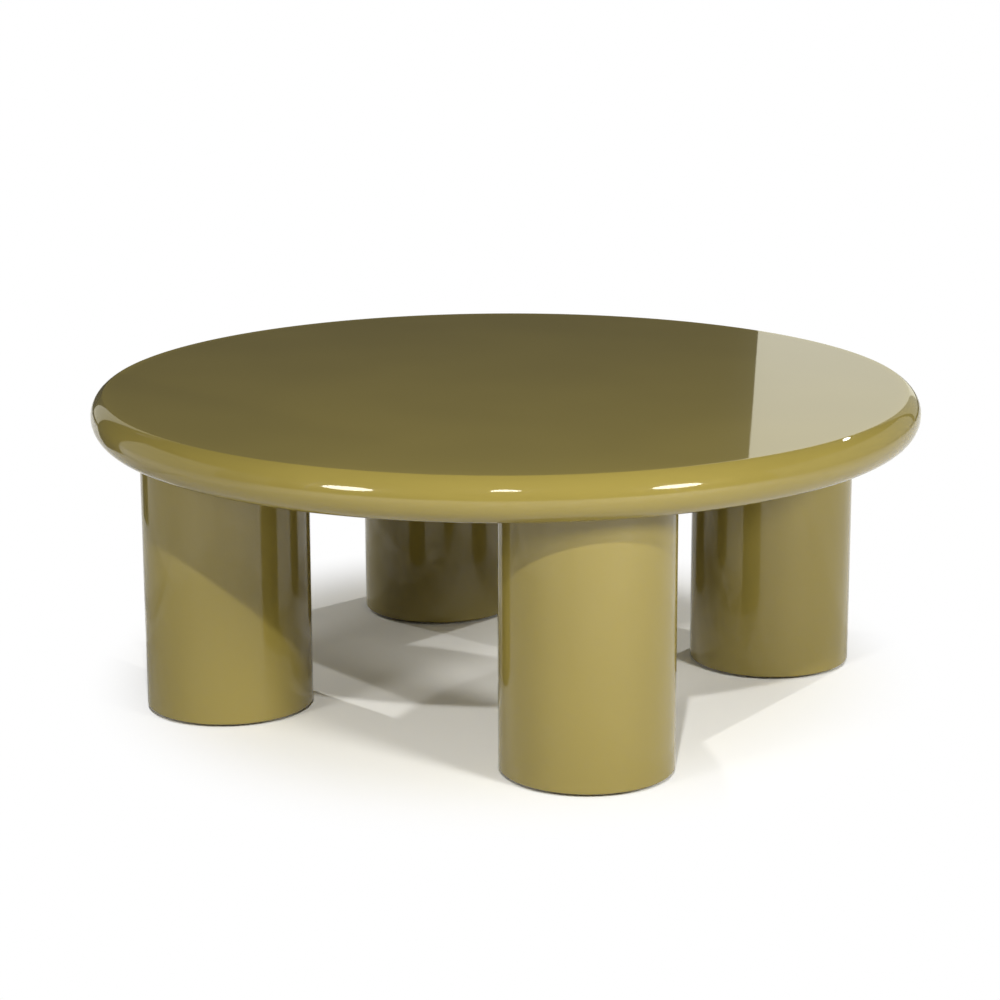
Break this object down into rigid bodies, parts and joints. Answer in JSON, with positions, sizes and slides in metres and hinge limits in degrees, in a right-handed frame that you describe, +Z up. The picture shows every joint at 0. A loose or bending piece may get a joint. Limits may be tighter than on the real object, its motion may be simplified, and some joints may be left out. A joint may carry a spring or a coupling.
{
  "type": "round cocktail table",
  "caption": "Low round table with a thick, bullnose-edged lacquered top on stout cylindrical legs, each with a screw-adjustable levelling foot.",
  "frame": {"origin": "on the floor, under the middle of the round top", "axes": "+Z up; the legs stand on the diagonals between X and Y; -Y is the front"},
  "size_m": [1, 1, 0.375],
  "materials": {
    "lacquer": "high-gloss olive lacquer over fibreboard",
    "core_board": "raw fibreboard",
    "plywood": "raw birch plywood",
    "zinc_steel": "bright zinc plate",
    "nylon": "black moulded nylon"
  },
  "bodies": {
    "table": {"back_left_block": "plywood", "back_left_foot_nut": "zinc_steel", "back_left_insert": "zinc_steel", "back_left_leg_bolt": "zinc_steel", "back_left_leg_tube": "lacquer", "back_left_lower_plug": "plywood", "back_left_upper_plug": "plywood", "back_right_block": "plywood", "back_right_foot_nut": "zinc_steel", "back_right_insert": "zinc_steel", "back_right_leg_bolt": "zinc_steel", "back_right_leg_tube": "lacquer", "back_right_lower_plug": "plywood", "back_right_upper_plug": "plywood", "bottom_panel": "lacquer", "cross_batten_1": "core_board", "cross_batten_2": "core_board", "front_left_block": "plywood", "front_left_foot_nut": "zinc_steel", "front_left_insert": "zinc_steel", "front_left_leg_bolt": "zinc_steel", "front_left_leg_tube": "lacquer", "front_left_lower_plug": "plywood", "front_left_upper_plug": "plywood", "front_right_block": "plywood", "front_right_foot_nut": "zinc_steel", "front_right_insert": "zinc_steel", "front_right_leg_bolt": "zinc_steel", "front_right_leg_tube": "lacquer", "front_right_lower_plug": "plywood", "front_right_upper_plug": "plywood", "long_batten_1": "core_board", "long_batten_2": "core_board", "rim_segment_1": "lacquer", "rim_segment_2": "lacquer", "rim_segment_3": "lacquer", "rim_segment_4": "lacquer", "rim_segment_5": "lacquer", "rim_segment_6": "lacquer", "rim_segment_7": "lacquer", "rim_segment_8": "lacquer", "top_panel": "lacquer"},
    "front_left_pad": {"front_left_foot_pad": "nylon"},
    "front_left_spindle": {"front_left_foot_spindle": "zinc_steel"},
    "front_right_pad": {"front_right_foot_pad": "nylon"},
    "front_right_spindle": {"front_right_foot_spindle": "zinc_steel"},
    "back_right_pad": {"back_right_foot_pad": "nylon"},
    "back_right_spindle": {"back_right_foot_spindle": "zinc_steel"},
    "back_left_pad": {"back_left_foot_pad": "nylon"},
    "back_left_spindle": {"back_left_foot_spindle": "zinc_steel"}
  },
  "joints": [
    {"name": "front_left_pad_travel", "type": "slide", "parent": "table", "child": "front_left_pad", "axis": [0, 0, -1], "range_m": [0, 0.01]},
    {"name": "front_left_spindle_turn", "type": "hinge", "parent": "front_left_pad", "child": "front_left_spindle", "pos_m": [-0.24501, -0.24501, 0.02], "axis": [0, 0, -1], "range_deg": [0, 2401]},
    {"name": "front_right_pad_travel", "type": "slide", "parent": "table", "child": "front_right_pad", "axis": [0, 0, -1], "range_m": [0, 0.01]},
    {"name": "front_right_spindle_turn", "type": "hinge", "parent": "front_right_pad", "child": "front_right_spindle", "pos_m": [0.24501, -0.24501, 0.02], "axis": [0, 0, -1], "range_deg": [0, 2401]},
    {"name": "back_right_pad_travel", "type": "slide", "parent": "table", "child": "back_right_pad", "axis": [0, 0, -1], "range_m": [0, 0.01]},
    {"name": "back_right_spindle_turn", "type": "hinge", "parent": "back_right_pad", "child": "back_right_spindle", "pos_m": [0.24501, 0.24501, 0.02], "axis": [0, 0, -1], "range_deg": [0, 2401]},
    {"name": "back_left_pad_travel", "type": "slide", "parent": "table", "child": "back_left_pad", "axis": [0, 0, -1], "range_m": [0, 0.01]},
    {"name": "back_left_spindle_turn", "type": "hinge", "parent": "back_left_pad", "child": "back_left_spindle", "pos_m": [-0.24501, 0.24501, 0.02], "axis": [0, 0, -1], "range_deg": [0, 2401]}
  ],
  "couplings": [
    {"joint": "front_left_spindle_turn", "follows": "front_left_pad_travel", "rad_per_m": 4188.8},
    {"joint": "front_right_spindle_turn", "follows": "front_right_pad_travel", "rad_per_m": 4188.8},
    {"joint": "back_right_spindle_turn", "follows": "back_right_pad_travel", "rad_per_m": 4188.8},
    {"joint": "back_left_spindle_turn", "follows": "back_left_pad_travel", "rad_per_m": 4188.8}
  ]
}
